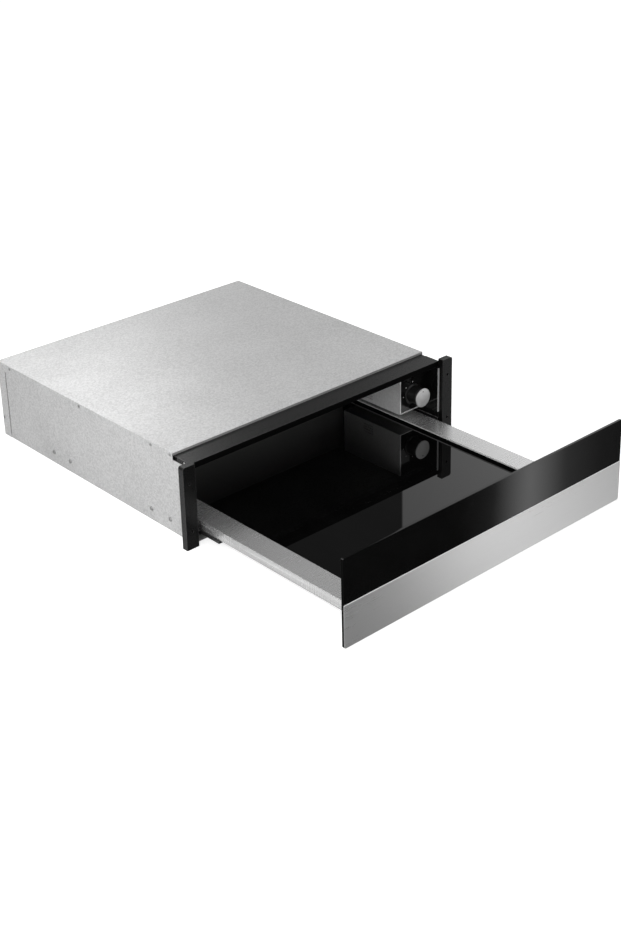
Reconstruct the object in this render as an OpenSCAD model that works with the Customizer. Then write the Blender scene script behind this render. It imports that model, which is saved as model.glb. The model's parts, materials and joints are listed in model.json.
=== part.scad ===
// Built-in warming drawer, shown with its drawer open.
// Origin: centre of the underside of the housing. +X right, +Y to the rear, +Z up. Millimetres.
// The front frame's back face (the plane that meets the kitchen unit) is at y = -housing_d / 2.

/* [Housing] */
// Width over the folded sides of the top cover
housing_w = 540; // [522:1:552]
// Depth from the back face of the front frame to the rear face
housing_d = 532; // [515:1:556]
// Height of the housing
housing_h = 140; // [134:1:150]
// Thickness of the galvanised sheet
sheet_t = 0.8; // [0.6:0.1:1.0]
// Distance from the frame's back face to the front lip of the cover
cover_setback = 40; // [34:1:50]
// Height of the cover's folded side and rear flanges
cover_flange_h = 14; // [12:0.5:18]
// Height of the cover's front lip above the top rail
cover_lip_h = 4.5; // [3:0.5:6]
// Depth of the rear panel's fold on the sides
rear_wrap = 21; // [18:1:30]
// Width of the slit beside the rear fold
slit_w = 2; // [1:0.5:3]

/* [Front frame] */
// Thickness of the black frame sheet
frame_t = 1.2; // [1:0.1:1.5]
// Depth of the uprights in front of the kitchen unit
post_depth = 11; // [9:0.5:14]
// Width of the uprights
post_w = 22.8; // [20:0.1:28]
// How far the front panel reaches past the uprights on each side
post_inset = 7.5; // [5:0.5:10]
// Radius of the upper outer corner of an upright
post_corner_r = 4; // [3:0.5:6]
// Length of the upright's inner tab behind the frame
post_tab = 30; // [26:1:34]
// Height of the top rail's front lip
rail_lip_h = 10; // [8:0.5:11]
// Height of the front sill
sill_h = 14; // [10:0.5:15]
// Radius of the fixing holes in the uprights
fixing_r = 2.3; // [2:0.1:3]
// Height of the lower fixing holes
fixing_low_z = 30; // [25:1:45]
// Distance between the lower and upper fixing holes
fixing_pitch = 80; // [60:1:90]

/* [Front panel] */
// Height of the front panel
panel_h = 140; // [134:1:146]
// Thickness of the panel glass
panel_glass_t = 4; // [3:0.5:5]
// Height of the steel strip
strip_h = 68; // [50:1:90]
// Thickness of the steel strip
strip_t = 0.8; // [0.6:0.1:1.2]
// Thickness of the steel carrier behind the glass
carrier_t = 1.8; // [1.5:0.1:2.5]
// Radius of the panel's corners
panel_corner_r = 3; // [2:0.5:5]
// Gap between the closed panel and the uprights
closed_gap = 2; // [1.5:0.1:3]

/* [Drawer] */
// Gap between the side panel and the drawer side
slide_gap = 15; // [14.5:0.1:16]
// Height of the drawer's side flanges
flange_z = 33.4; // [32.5:0.1:36]
// Width of the side flanges
flange_w = 39.4; // [36:0.2:44]
// Height of the drawer side's outer web
web_h = 16.1; // [15:0.1:16.1]
// Thickness of the brushed steel of the sides
side_t = 1; // [0.8:0.1:1.2]
// Thickness of the glass floor
floor_glass_t = 4; // [3:0.5:4]
// How far the glass floor lies below the flanges
glass_drop = 6.5; // [3:0.1:7]
// Thickness of the back wall
back_wall_t = 2; // [1.5:0.1:3]
// Gap between the closed back wall and the rear panel
rear_gap = 6.4; // [6:0.1:9]
// Gap between the back wall and the ceiling
wall_top_gap = 3.2; // [2:0.1:8]

/* [Slides] */
// Length of the cabinet rails
rail_l = 419; // [400:1:440]
// Length of the middle rails
mid_l = 292; // [280:1:300]
// How far the middle rails reach out in front when the drawer is open
mid_reach = 45; // [40:1:60]
// Length of the drawer rails
drawer_rail_l = 350; // [340:1:380]
// Thickness of the rail steel
rail_t = 1.2; // [1:0.1:1.3]

/* [Controls] */
// Width of the control box
box_w = 62.2; // [60:0.1:64]
// Length of the control box
box_l = 140; // [132:1:160]
// Gap between the control box and the back wall of the open drawer
box_gap = 11; // [8:0.5:15]
// Height of the underside of the control box
box_z = 45.6; // [44:0.1:50]
// Distance from the frame's back face to the fascia
box_setback = 28; // [25:1:32]
// Height of the knob's axis above the underside of the box
knob_up = 30.6; // [28:0.1:34]
// Diameter of the knob's body
knob_d = 31; // [28:0.5:32]
// Diameter of the aluminium cap
cap_d = 34; // [32:0.5:38]
// Length of the knob with its cap
knob_l = 23; // [18:0.5:26]
// Radius of the ring of dial dots
dial_r = 22.3; // [21:0.1:26]
// Outer radius of the bezel ring
bezel_r = 18.5; // [18:0.5:20]
// Radius of the control shaft
shaft_r = 3; // [2.5:0.1:3.5]
// Radius of the cable hole in the inlet gland
gland_r = 3.8; // [3:0.1:4.5]

/* [Hidden] */
$fn = 48;

// Clearances used all over: flat running gap, running fit of a shaft, and a screw in its hole
run_gap = 0.3;
shaft_fit = 0.05;
hole_fit = 0.15;

// Planes of the housing
side_x = housing_w / 2;
side_out = side_x - sheet_t;
side_in = side_out - sheet_t;
front_y = -housing_d / 2;
rear_y = housing_d / 2;
rear_out = rear_y - sheet_t;
rear_in = rear_out - sheet_t;
cover_y = front_y + cover_setback;
rail_z = housing_h - cover_lip_h;
flange_low_z = housing_h - cover_flange_h;
cover_lip_in = 5;
corner_drop = 12;
corner_z = housing_h - corner_drop;
fold = 12;
slit_low_z = 6;
slit_top_gap = 2;
bottom_vent_w = 4;
bottom_vent_l = 60;
bottom_vent_pitch = 14;
bottom_vent_y = 90;

// Planes of the front frame
post_in = side_in - frame_t;
post_out = post_in + post_w;
panel_w = 2 * (post_out + post_inset);
post_h = housing_h;
post_y = front_y - post_depth;
post_mid = (post_in + post_out) / 2;
fixing_z = [fixing_low_z, fixing_low_z + fixing_pitch];
sleeve_wall = 2.7;
sleeve_r = fixing_r + sleeve_wall;
end_flange_h = 24;
rail_cover_lap = 12;
sill_gap = 8.6;
sill_shelf = 16;

// Lining of the cavity
liner_t = 0.8;
liner_out = post_in - frame_t;
liner_in = liner_out - liner_t;
liner_low_z = 31;
ceiling_t = 0.8;
ceiling_z = rail_z - rail_lip_h - run_gap;
liner_reach = 3.5;
trim_w = 3.8;
trim_t = 1;
trim_low_z = 43;
trim_top_gap = 1;
mat_gap = 20;
mat_front_gap = 3;
mat_rear_gap = 10;
mat_top_gap = 2.5;
mat_top_z = housing_h - mat_top_gap;

// Planes of the drawer, at rest in its open place. It opens until its back wall clears the control box
travel = rear_in - rear_gap - back_wall_t - box_gap - box_l - (front_y + box_setback);
drawer_x = side_in - slide_gap;
flange_in = drawer_x - flange_w;
drawer_y0 = post_y - closed_gap - travel;
drawer_y1 = rear_in - rear_gap - travel;
web_z = flange_z - web_h;
glass_top = flange_z - glass_drop;
glass_low = glass_top - floor_glass_t;
ledge_z = glass_low - side_t;
ledge_w = 14;
return_w = 17;
pan_lip = 9;
pan_x = flange_in - ledge_w + 1;
pan_t = 0.8;
pan_lift = 0.5;
pan_z = web_z + pan_lift;
pad_r = 8;
pad_inset = 60;
wall_inset = 2;
wall_fold = 4;
glass_gap = 0.4;
carrier_inset = 1.5;
bracket_t = 1.5;
bracket_l = 40;
bracket_inset = 3;
panel_screw_in = 11;
panel_screw_up = 8;
panel_head_r = 3;
panel_head_h = 1.8;
buffer_r = 5;
buffer_inset = 12;
wall_top_z = ceiling_z - wall_top_gap;
glass_y0 = drawer_y0 - carrier_t - panel_glass_t;
strip_y0 = glass_y0 - strip_t;

// Slides: every rail hangs on the drawer side above it or on the side panel beside it
rail_setback = 1;
rail_y0 = front_y + rail_setback;
rail_y1 = rail_y0 + rail_l;
rail_low_z = 9.5;
rail_h = 19;
rail_top_z = rail_low_z + rail_h;
rail_screw_up = 10.5;
rail_screw_z = rail_low_z + rail_screw_up;
screw_in_a = 55;
screw_in_b = 103;
screw_in_c = 92;
screw_in_d = 45;
rail_screw_ys = [rail_y0 + screw_in_a, rail_y0 + screw_in_b, rail_y1 - screw_in_c, rail_y1 - screw_in_d];
rail_screw_r = 2;
rail_head_r = 3.6;
rail_head_h = 2.2;
foot_gap = 8;
foot_lip_h = 5;
hold_gap = 0.1;
hold_in = 1.4;
mid_y0 = front_y - mid_reach;
mid_top_z = web_z - run_gap;
mid_h = 4.3;
mid_low_z = mid_top_z - mid_h;
mid_over = 2.8;
mid_out = drawer_x + mid_over;
mid_under = 13.4;
mid_in = drawer_x - mid_under;
mid_lip = 9;
glide_side_gap = 1.4;
glide_end_gap = 8;
run_side_gap = 0.8;
stem_in = 7.9;
stem_flange = 8.1;
plate_in = 3.5;
catch_setback = 3;
catch_l = 44;
catch_h = 3;
catch_in = 8;
catch_out = 0.6;
catch_tab_l = 5;
catch_tab_h = 4.2;
catch_y0 = drawer_y0 + catch_setback;
catch_y1 = catch_y0 + catch_l;

// Touch latch under the drawer
latch_w = 32;
latch_h = 13;
latch_l = 35;
latch_rear_gap = 3;
latch_ear = 10;
latch_ear_t = 2;
latch_y1 = rear_in - latch_rear_gap;
latch_y0 = latch_y1 - latch_l;
plunger_r = 4;
plunger_z = sheet_t + latch_h / 2;
striker_w = 24;
striker_drop = 5;
striker_foot = 20;
plunger_out = 12;
plunger_in = 16;
plunger_stroke = 4;
striker_y = latch_y0 - plunger_out - run_gap - travel;
striker_t = 1.5;

// Control box in the upper right corner of the cavity
box_x0 = liner_in - box_w;
box_t = 1;
fascia_y = front_y + box_setback;
box_y1 = fascia_y + box_l;
box_lip_setback = 20;
fascia_low = 2.2;
trim_bar = 3;
trim_depth = 2.4;
fascia_step = 0.4;
fascia_t = 2;
fascia_front = fascia_y + fascia_step;
fascia_back = fascia_front + fascia_t;
knob_x = (box_x0 + liner_in) / 2;
knob_z = box_z + knob_up;
bezel_t = 2;
knob_back = fascia_front - bezel_t - run_gap;
knob_front = knob_back - knob_l;
cap_t = 2;
cap_dot_in = 7;
cap_dot_r = 0.9;
mark_r = 1.1;
mark_t = 0.2;
bush_wall = 2;
bush_r = shaft_r + bush_wall;
shaft_in_knob = 12;
shaft_in_box = 14;
thermo_w = 32;
thermo_d = 20;
thermo_cut = 6;
lamp_in = 8;
lamp_x = liner_in - lamp_in;
lamp_drop = 9;
lamp_z = ceiling_z - lamp_drop;
lamp_r = 2.5;
lamp_body_l = 12;

// Fan heater in the rear of the control box
blower_rear = 62;
blower_y = box_y1 - blower_rear;
blower_drop = 10.4;
motor_r = 13;
motor_l = 20;
motor_neck = 1.5;
motor_x = liner_in - motor_l;
scroll_r = 26;
scroll_l = 24;
scroll_t = 1.2;
blower_z = ceiling_z - scroll_r - blower_drop;
wheel_r = 22;
wheel_l = 15;
wheel_gap = 5;
hub_r = 5;
blade_t = 1;
blade_l = 5.5;
blade_count = 12;
axle_r = 1.5;
axle_l = 30;
heater_t = 12;
heater_up = 5;
heater_z = box_z + heater_up;
heater_h = 22;
heater_l = 28;
fin_gap = 2.6;
fin_pitch = 4.6;
fin_edge = 3;
cutout_r = 5;
slot_h = 1.6;
slot_l = 24;
slot_pitch = 5;
slot_up = 7;
slot_count = 4;

// Supply inside the housing
block_gap = 2;
block_w = 28;
block_x0 = liner_in - block_gap - block_w;
block_d = 18;
block_h = 24;
block_hole_r = 2;
block_hole_pitch = 8;
gland_in = 23;
gland_x = liner_in - gland_in;
gland_drop = 24.2;
gland_z = ceiling_z - gland_drop;
gland_wall = 3.2;
gland_neck_r = gland_r + gland_wall;
gland_washer = 2.5;
gland_flange = 3;
gland_boss_l = 11;
block_drop = 11.5;
block_z = gland_z - gland_neck_r - gland_washer - block_drop - block_h;
lead_r = 3;
lead_in = 6;
lead_x = liner_in - lead_in;
lead_z = block_z + block_h / 2;
clip_wall = 1.5;
clip_l = 8;
clip_ys = [box_y1 + (rear_in - box_y1) / 4, box_y1 + (rear_in - box_y1) * 0.66];

// Screws of the cover: distances behind the lip, the last one from the rear
cover_screw_in = 6;
cover_screw_front = 54;
cover_screw_rear = 39;
cover_screw_mid = (cover_y + rear_y) / 2;
cover_screw_ys = [cover_y + cover_screw_in, cover_y + cover_screw_front, cover_screw_mid,
                  rear_y - cover_screw_rear];
cover_screw_drop = 5;
cover_screw_z = housing_h - cover_screw_drop;
cover_screw_r = 1.5;
cover_head_r = 2.6;
cover_head_h = 1.2;
rear_screw_count = 5;
rear_screw_pitch = housing_w / (rear_screw_count + 0.4);
rear_screw_xs = [for (i = [0 : rear_screw_count - 1]) (i - (rear_screw_count - 1) / 2) * rear_screw_pitch];
wrap_screw_in = 5;
wrap_screw_y = rear_y - wrap_screw_in;
wrap_screw_z = 34;
rivet_setback = 13;
rivet_y = front_y + rivet_setback;
rivet_drop = 3.5;
rivet_z = rail_z - rivet_drop;
rivet_r = 1;
rivet_head_r = 2;
rivet_head_h = 0.8;

// Helpers
// Box between two opposite corners
module block(a, b) {
    translate(a) cube(b - a);
}

// Mirror to the left when side is -1
module on_side(side) {
    if (side < 0) mirror([1, 0, 0]) children();
    else children();
}

// A piece on both sides
module both_sides() {
    for (side = [-1, 1]) on_side(side) children();
}

// Extrude a front view (x, z) from y0 to y1
module front_view(y0, y1) {
    translate([0, y1, 0]) rotate([90, 0, 0]) linear_extrude(y1 - y0) children();
}

// Extrude a side view (y, z) from x0 to x1
module side_view(x0, x1) {
    translate([x0, 0, 0]) rotate([90, 0, 90]) linear_extrude(x1 - x0) children();
}

// Flat rectangle between two corners
module rect(a, b) {
    translate(a) square(b - a);
}

// Rectangle with one round corner at its upper right
module corner_plate(w, h, r) {
    square([w - r, h]);
    square([w, h - r]);
    translate([w - r, h - r]) circle(r);
}

// Rectangle with all four corners round
module round_plate(a, b, r) {
    rect([a[0] + r, a[1]], [b[0] - r, b[1]]);
    rect([a[0], a[1] + r], [b[0], b[1] - r]);
    for (x = [a[0] + r, b[0] - r], y = [a[1] + r, b[1] - r]) translate([x, y]) circle(r);
}

// Cylinder along +X, +Y
module rod_x(p, r, l) {
    translate(p) rotate([0, 90, 0]) cylinder(r = r, h = l);
}
module rod_y(p, r, l) {
    translate(p) rotate([-90, 0, 0]) cylinder(r = r, h = l);
}

// Screw along +X with its domed head outside at x = p[0] and its shank reaching inwards
module screw_x(p, head_r, head_h, shank_r, shank_l) {
    translate(p) rotate([0, 90, 0]) difference() {
        union() {
            cylinder(r = head_r, h = head_h / 2);
            translate([0, 0, head_h / 2]) cylinder(r1 = head_r, r2 = head_r * 0.6, h = head_h / 2);
            translate([0, 0, -shank_l]) cylinder(r = shank_r, h = shank_l);
        }
        translate([0, 0, head_h * 0.4]) cylinder(r = head_r * 0.35, h = head_h, $fn = 6);
    }
}

// Housing
module top_cover() {
    color("lightgray") difference() {
        union() {
            block([-side_x, cover_y, housing_h - sheet_t], [side_x, rear_y, housing_h]);
            block([-side_out + cover_lip_in, cover_y, rail_z],
                  [side_out - cover_lip_in, cover_y + sheet_t, housing_h]);
            block([-side_x, rear_out, flange_low_z], [side_x, rear_y, housing_h]);
            both_sides() block([side_out, cover_y, flange_low_z], [side_x, rear_y, housing_h]);
        }
        both_sides() for (y = cover_screw_ys)
            rod_x([side_out - 1, y, cover_screw_z], cover_screw_r + hole_fit, sheet_t + 2);
        for (x = rear_screw_xs)
            rod_y([x, rear_out - 1, cover_screw_z], cover_screw_r + hole_fit, sheet_t + 2);
    }
}

module side_panel(side) {
    color("silver") on_side(side) difference() {
        union() {
            side_view(side_in, side_out) difference() {
                rect([front_y, 0], [rear_in, housing_h - sheet_t]);
                rect([front_y - 1, corner_z], [cover_y + sheet_t, housing_h]);
            }
            block([side_in - fold, front_y + post_tab, sheet_t], [side_in, rear_in, 2 * sheet_t]);
            block([side_in - fold, cover_y + rail_cover_lap + 2, housing_h - 2 * sheet_t],
                  [side_in, rear_in, housing_h - sheet_t]);
        }
        block([side_in - 1, rear_y - rear_wrap - slit_w, slit_low_z],
              [side_x, rear_y - rear_wrap, flange_low_z - slit_top_gap]);
        for (y = cover_screw_ys)
            rod_x([side_in - 1, y, cover_screw_z], cover_screw_r + hole_fit, sheet_t + 2);
        for (y = rail_screw_ys)
            rod_x([side_in - 1, y, rail_screw_z], rail_screw_r + hole_fit, sheet_t + 2);
        rod_x([side_in - 1, wrap_screw_y, wrap_screw_z], cover_screw_r + hole_fit, sheet_t + 2);
    }
}

module rear_panel() {
    color("silver") difference() {
        union() {
            block([-side_out, rear_in, 0], [side_out, rear_out, housing_h - sheet_t]);
            both_sides()
                block([side_out, rear_y - rear_wrap, 0], [side_x, rear_out, flange_low_z]);
        }
        for (x = rear_screw_xs)
            rod_y([x, rear_in - 1, cover_screw_z], cover_screw_r + hole_fit, sheet_t + 2);
        both_sides()
            rod_x([side_out - 1, wrap_screw_y, wrap_screw_z], cover_screw_r + hole_fit, sheet_t + 2);
        rod_y([gland_x, rear_in - 1, gland_z], gland_neck_r + hole_fit, sheet_t + 2);
    }
}

module bottom_panel() {
    half_w = bottom_vent_w / 2;
    half_l = bottom_vent_l / 2;
    color("silver") difference() {
        block([-side_in, front_y, 0], [side_in, rear_in, sheet_t]);
        for (side = [-1, 1], i = [-6 : 6])
            translate([i * bottom_vent_pitch, side * bottom_vent_y, -1]) linear_extrude(sheet_t + 2)
                round_plate([-half_w, -half_l], [half_w, half_l], half_w - 0.01);
    }
}

// Front frame
module front_post(side) {
    color("#202122") on_side(side) difference() {
        union() {
            difference() {
                front_view(post_y, front_y) translate([post_in, 0])
                    corner_plate(post_w, post_h, post_corner_r);
                front_view(post_y + frame_t, front_y + 1) translate([post_in + frame_t, frame_t])
                    corner_plate(post_w - 2 * frame_t, post_h - 2 * frame_t, post_corner_r - frame_t);
            }
            block([post_in, front_y - 1, rail_top_z + 1.5], [side_in, front_y + post_tab, rail_z]);
            for (z = fixing_z) rod_y([post_mid, post_y, z], sleeve_r, post_depth);
        }
        for (z = fixing_z) rod_y([post_mid, post_y - 1, z], fixing_r, post_depth + 2);
        rod_x([post_in - 1, rivet_y, rivet_z], rivet_r + hole_fit, frame_t + 2);
    }
}

module top_rail() {
    color("#242526") difference() {
        union() {
            block([-post_in, front_y, rail_z - frame_t], [post_in, cover_y + rail_cover_lap, rail_z]);
            block([-post_in, front_y, rail_z - rail_lip_h], [post_in, front_y + frame_t, rail_z]);
            both_sides()
                block([liner_out, front_y, rail_z - end_flange_h], [post_in, front_y + post_tab, rail_z]);
        }
        both_sides() rod_x([liner_out - 1, rivet_y, rivet_z], rivet_r + hole_fit, frame_t + 2);
    }
}

module front_sill() {
    sill_x = mid_in - sill_gap;
    color("#1c1d1e") {
        block([-sill_x, front_y, sheet_t], [sill_x, front_y + frame_t, sill_h]);
        block([-sill_x, front_y, sheet_t], [sill_x, front_y + sill_shelf, sheet_t + frame_t]);
        block([-sill_x, front_y, sill_h - frame_t], [sill_x, front_y + fold, sill_h]);
    }
}

// Lining of the cavity
module side_liner(side) {
    color("#101113") on_side(side)
        block([liner_in, front_y - liner_reach, liner_low_z], [liner_out, rear_in - 1, ceiling_z]);
}

module edge_trims() {
    color("gainsboro") both_sides()
        block([liner_out - trim_w, front_y - liner_reach - trim_t, trim_low_z],
              [liner_out, front_y - liner_reach, ceiling_z - trim_top_gap]);
}

module ceiling_liner() {
    color("#303234") {
        block([-liner_out, fascia_y, ceiling_z], [liner_out, rear_in - 1, ceiling_z + ceiling_t]);
        block([-liner_out, fascia_y, ceiling_z], [liner_out, fascia_y + ceiling_t, rail_z - frame_t]);
    }
}

module insulation_mat() {
    color("khaki")
        block([-side_in + mat_gap, cover_y + rail_cover_lap + mat_front_gap, ceiling_z + ceiling_t],
              [side_in - mat_gap, rear_in - mat_rear_gap, mat_top_z]);
}

// Slides
module cabinet_rail(side) {
    foot_x = mid_in - foot_gap;
    color("#3a3c3e") on_side(side) difference() {
        front_view(rail_y0, rail_y1) {
            rect([side_in - rail_t, rail_low_z], [side_in, rail_top_z]);
            rect([foot_x, rail_low_z], [side_in, rail_low_z + rail_t]);
            rect([foot_x, rail_low_z], [foot_x + rail_t, rail_low_z + foot_lip_h]);
            rect([drawer_x + hold_in, web_z + hold_gap], [side_in, web_z + hold_gap + rail_t]);
        }
        for (y = rail_screw_ys)
            rod_x([side_in - rail_t - 1, y, rail_screw_z], rail_screw_r + hole_fit, rail_t + 2);
    }
}

module rail_glides() {
    color("ivory") both_sides()
        block([mid_in + glide_side_gap, rail_y0 + glide_end_gap, rail_low_z + rail_t],
              [mid_out - run_side_gap, rail_y1 - glide_end_gap, mid_low_z - run_gap]);
}

module middle_rail(side) {
    color("#26282a") on_side(side) front_view(mid_y0, mid_y0 + mid_l) {
        rect([mid_out - rail_t, mid_low_z], [mid_out, mid_top_z]);
        rect([mid_in, mid_low_z], [mid_out, mid_low_z + rail_t]);
        rect([mid_out - mid_lip, mid_top_z - rail_t], [mid_out, mid_top_z]);
    }
}

module drawer_rail(side) {
    run_z = mid_low_z + rail_t + run_gap;
    stem_x = drawer_x - stem_in;
    color("#4a4c4e") on_side(side) front_view(catch_y1, catch_y1 + drawer_rail_l) {
        rect([mid_in + glide_side_gap, run_z], [drawer_x - plate_in, run_z + rail_t]);
        rect([stem_x, run_z], [stem_x + rail_t, web_z]);
        rect([stem_x - stem_flange, web_z - rail_t], [stem_x + rail_t, web_z]);
    }
}

module front_catches() {
    color("#2c2e30") both_sides() {
        block([drawer_x - catch_in, catch_y0, web_z - catch_h], [drawer_x - plate_in, catch_y1, web_z]);
        block([drawer_x - catch_in, catch_y0, web_z - catch_tab_h],
              [drawer_x + catch_out, catch_y0 + catch_tab_l, web_z]);
    }
}

// Drawer
module drawer_side(side) {
    color("darkgray") on_side(side) front_view(drawer_y0, drawer_y1) {
        rect([flange_in, flange_z - side_t], [drawer_x, flange_z]);
        rect([drawer_x - side_t, web_z], [drawer_x, flange_z]);
        rect([drawer_x - return_w, web_z], [drawer_x, web_z + side_t]);
        rect([flange_in, ledge_z], [flange_in + side_t, flange_z]);
        rect([flange_in - ledge_w, ledge_z], [flange_in + side_t, ledge_z + side_t]);
    }
}

module base_pan() {
    color("silver") {
        block([-pan_x, drawer_y0, pan_z], [pan_x, drawer_y1, pan_z + pan_t]);
        block([-pan_x, drawer_y0, pan_z], [pan_x, drawer_y0 + pan_t, ledge_z]);
        block([-pan_x, drawer_y1 - pan_t, pan_z], [pan_x, drawer_y1, ledge_z]);
        both_sides() {
            block([pan_x - pan_t, drawer_y0, pan_z], [pan_x, drawer_y1, ledge_z]);
            block([pan_x - pan_t, drawer_y0, ledge_z - pan_t], [pan_x + pan_lip, drawer_y1, ledge_z]);
        }
    }
}

module glass_pads() {
    color("darkred") for (x = [-pan_x + pad_inset, 0, pan_x - pad_inset])
        for (y = [drawer_y0 + pad_inset, (drawer_y0 + drawer_y1) / 2, drawer_y1 - pad_inset])
            translate([x, y, pan_z + pan_t]) cylinder(r = pad_r, h = glass_low - pan_z - pan_t);
}

module glass_floor() {
    color("#0b0c0e") translate([0, 0, glass_low]) linear_extrude(floor_glass_t)
        round_plate([-flange_in + glass_gap, drawer_y0 + glass_gap],
                    [flange_in - glass_gap, drawer_y1 - back_wall_t - glass_gap], 2);
}

module back_wall() {
    half = flange_in - wall_inset;
    color("gray") {
        block([-half, drawer_y1 - back_wall_t, glass_low], [half, drawer_y1, wall_top_z]);
        block([-half, drawer_y1, wall_top_z - frame_t], [half, drawer_y1 + wall_fold, wall_top_z]);
    }
}

// Front panel
module panel_carrier() {
    half = panel_w / 2 - carrier_inset;
    color("#1a1b1c") front_view(drawer_y0 - carrier_t, drawer_y0)
        round_plate([-half, carrier_inset], [half, panel_h - carrier_inset], panel_corner_r - 1);
}

module panel_glass() {
    color("#08090a") front_view(glass_y0, glass_y0 + panel_glass_t)
        round_plate([-panel_w / 2, 0], [panel_w / 2, panel_h], panel_corner_r);
}

module panel_strip() {
    color("gray") front_view(strip_y0, glass_y0) union() {
        round_plate([-panel_w / 2, 0], [panel_w / 2, strip_h], panel_corner_r);
        rect([-panel_w / 2, strip_h - panel_corner_r - 1], [panel_w / 2, strip_h]);
    }
}

module front_brackets() {
    top_z = flange_z - side_t;
    x0 = flange_in + bracket_inset;
    x1 = drawer_x - bracket_inset;
    color("silver") both_sides() difference() {
        union() {
            block([x0, drawer_y0, web_z + side_t + run_gap], [x1, drawer_y0 + bracket_t, top_z]);
            block([x0, drawer_y0, top_z - bracket_t], [x1, drawer_y0 + bracket_l, top_z]);
        }
        for (x = [flange_in + panel_screw_in, drawer_x - panel_screw_in])
            rod_y([x, drawer_y0 - 1, web_z + panel_screw_up], cover_screw_r + hole_fit, bracket_t + 2);
    }
}

module panel_screws() {
    color("lightgray") both_sides() for (x = [flange_in + panel_screw_in, drawer_x - panel_screw_in]) {
        rod_y([x, drawer_y0, web_z + panel_screw_up], cover_screw_r, bracket_t);
        rod_y([x, drawer_y0 + bracket_t, web_z + panel_screw_up], panel_head_r, panel_head_h);
    }
}

module closing_buffers() {
    color("#151515") both_sides() for (z = [buffer_inset, panel_h - buffer_inset])
        rod_y([post_mid, drawer_y0, z], buffer_r, closed_gap - run_gap);
}

// Touch latch
module latch_striker() {
    color("silver") {
        block([-striker_w / 2, striker_y - striker_t, plunger_z - striker_drop],
              [striker_w / 2, striker_y, pan_z]);
        block([-striker_w / 2, striker_y - striker_foot, pan_z - striker_t], [striker_w / 2, striker_y, pan_z]);
    }
}

module latch_body() {
    bore_l = plunger_in + plunger_stroke + 1;
    color("#26282b") difference() {
        union() {
            block([-latch_w / 2, latch_y0, sheet_t], [latch_w / 2, latch_y1, sheet_t + latch_h]);
            block([-latch_w / 2 - latch_ear, latch_y0 + latch_ear / 2, sheet_t],
                  [latch_w / 2 + latch_ear, latch_y1 - latch_ear / 2, sheet_t + latch_ear_t]);
        }
        rod_y([0, latch_y0 - 1, plunger_z], plunger_r + shaft_fit, bore_l + 1);
    }
}

module latch_plunger() {
    color("dimgray") {
        rod_y([0, latch_y0 - plunger_out + 1, plunger_z], plunger_r, plunger_out + plunger_in - 1);
        rod_y([0, latch_y0 - plunger_out, plunger_z], plunger_r - 1, 1.5);
    }
}

// Control box
module control_box() {
    color("gray") difference() {
        union() {
            block([box_x0, fascia_y + trim_depth, box_z], [box_x0 + box_t, box_y1, ceiling_z]);
            block([box_x0, fascia_y + trim_depth, box_z], [liner_in, box_y1, box_z + box_t]);
            block([box_x0, box_y1 - box_t, box_z], [liner_in, box_y1, ceiling_z]);
            block([box_x0, fascia_y + box_lip_setback, ceiling_z - box_t], [box_x0 + fold, box_y1, ceiling_z]);
        }
        for (i = [0 : slot_count - 1])
            block([box_x0 - 1, blower_y - slot_l / 2, box_z + slot_up + i * slot_pitch],
                  [box_x0 + box_t + 1, blower_y + slot_l / 2, box_z + slot_up + i * slot_pitch + slot_h]);
    }
}

module fascia_trim() {
    color("gainsboro") {
        block([box_x0, fascia_y, box_z], [box_x0 + trim_bar, fascia_y + trim_depth, ceiling_z]);
        block([box_x0, fascia_y, box_z], [liner_in, fascia_y + trim_depth, box_z + fascia_low]);
    }
}

module control_fascia() {
    color("#0c0d0f") difference() {
        block([box_x0 + trim_bar, fascia_front, box_z + fascia_low], [liner_in, fascia_back, ceiling_z]);
        rod_y([knob_x, fascia_front - 1, knob_z], bush_r + shaft_fit, fascia_t + 2);
        rod_y([lamp_x, fascia_front - 1, lamp_z], lamp_r + shaft_fit, fascia_t + 2);
    }
}

module dial_marks() {
    color("white") for (a = [-90 : 45 : 0])
        rod_y([knob_x + dial_r * sin(a), fascia_front - mark_t, knob_z + dial_r * cos(a)], mark_r, mark_t);
}

module knob_bezel() {
    color("#1a1b1d") translate([knob_x, fascia_front, knob_z]) rotate([90, 0, 0]) difference() {
        cylinder(r1 = bezel_r, r2 = bezel_r - 1, h = bezel_t);
        translate([0, 0, -1]) cylinder(r = knob_d / 2 - 2, h = bezel_t + 2);
    }
}

module control_shaft() {
    color("silver") rod_y([knob_x, knob_back - shaft_in_knob, knob_z], shaft_r,
                          fascia_back - knob_back + shaft_in_knob + shaft_in_box);
}

module knob() {
    body_l = knob_l - cap_t;
    color("#101112") translate([knob_x, knob_back, knob_z]) rotate([90, 0, 0]) difference() {
        union() {
            cylinder(r1 = knob_d / 2, r2 = knob_d / 2 - 1, h = body_l - 3);
            translate([0, 0, body_l - 3]) cylinder(r1 = knob_d / 2 - 1, r2 = cap_d / 2 - 0.8, h = 3);
        }
        translate([0, 0, -1]) cylinder(r = shaft_r, h = shaft_in_knob + 1);
    }
}

module knob_cap() {
    color("gainsboro") translate([knob_x, knob_front + cap_t, knob_z]) rotate([90, 0, 0]) difference() {
        union() {
            cylinder(r = cap_d / 2, h = cap_t - 0.5);
            translate([0, 0, cap_t - 0.5]) cylinder(r1 = cap_d / 2, r2 = cap_d / 2 - 0.5, h = 0.5);
        }
        translate([0, cap_d / 2 - cap_dot_in, cap_t - 0.6]) cylinder(r = cap_dot_r, h = 1);
    }
}

module thermostat() {
    color("tan") difference() {
        union() {
            block([knob_x - thermo_w / 2, fascia_back, knob_z - thermo_w / 2],
                  [knob_x + thermo_w / 2, fascia_back + thermo_d, knob_z + thermo_w / 2 - thermo_cut]);
            rod_y([knob_x, fascia_front - 1, knob_z], bush_r, fascia_t + 2);
        }
        rod_y([knob_x, fascia_front - 2, knob_z], shaft_r + shaft_fit, fascia_t + 2 + shaft_in_box + run_gap);
    }
}

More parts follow.
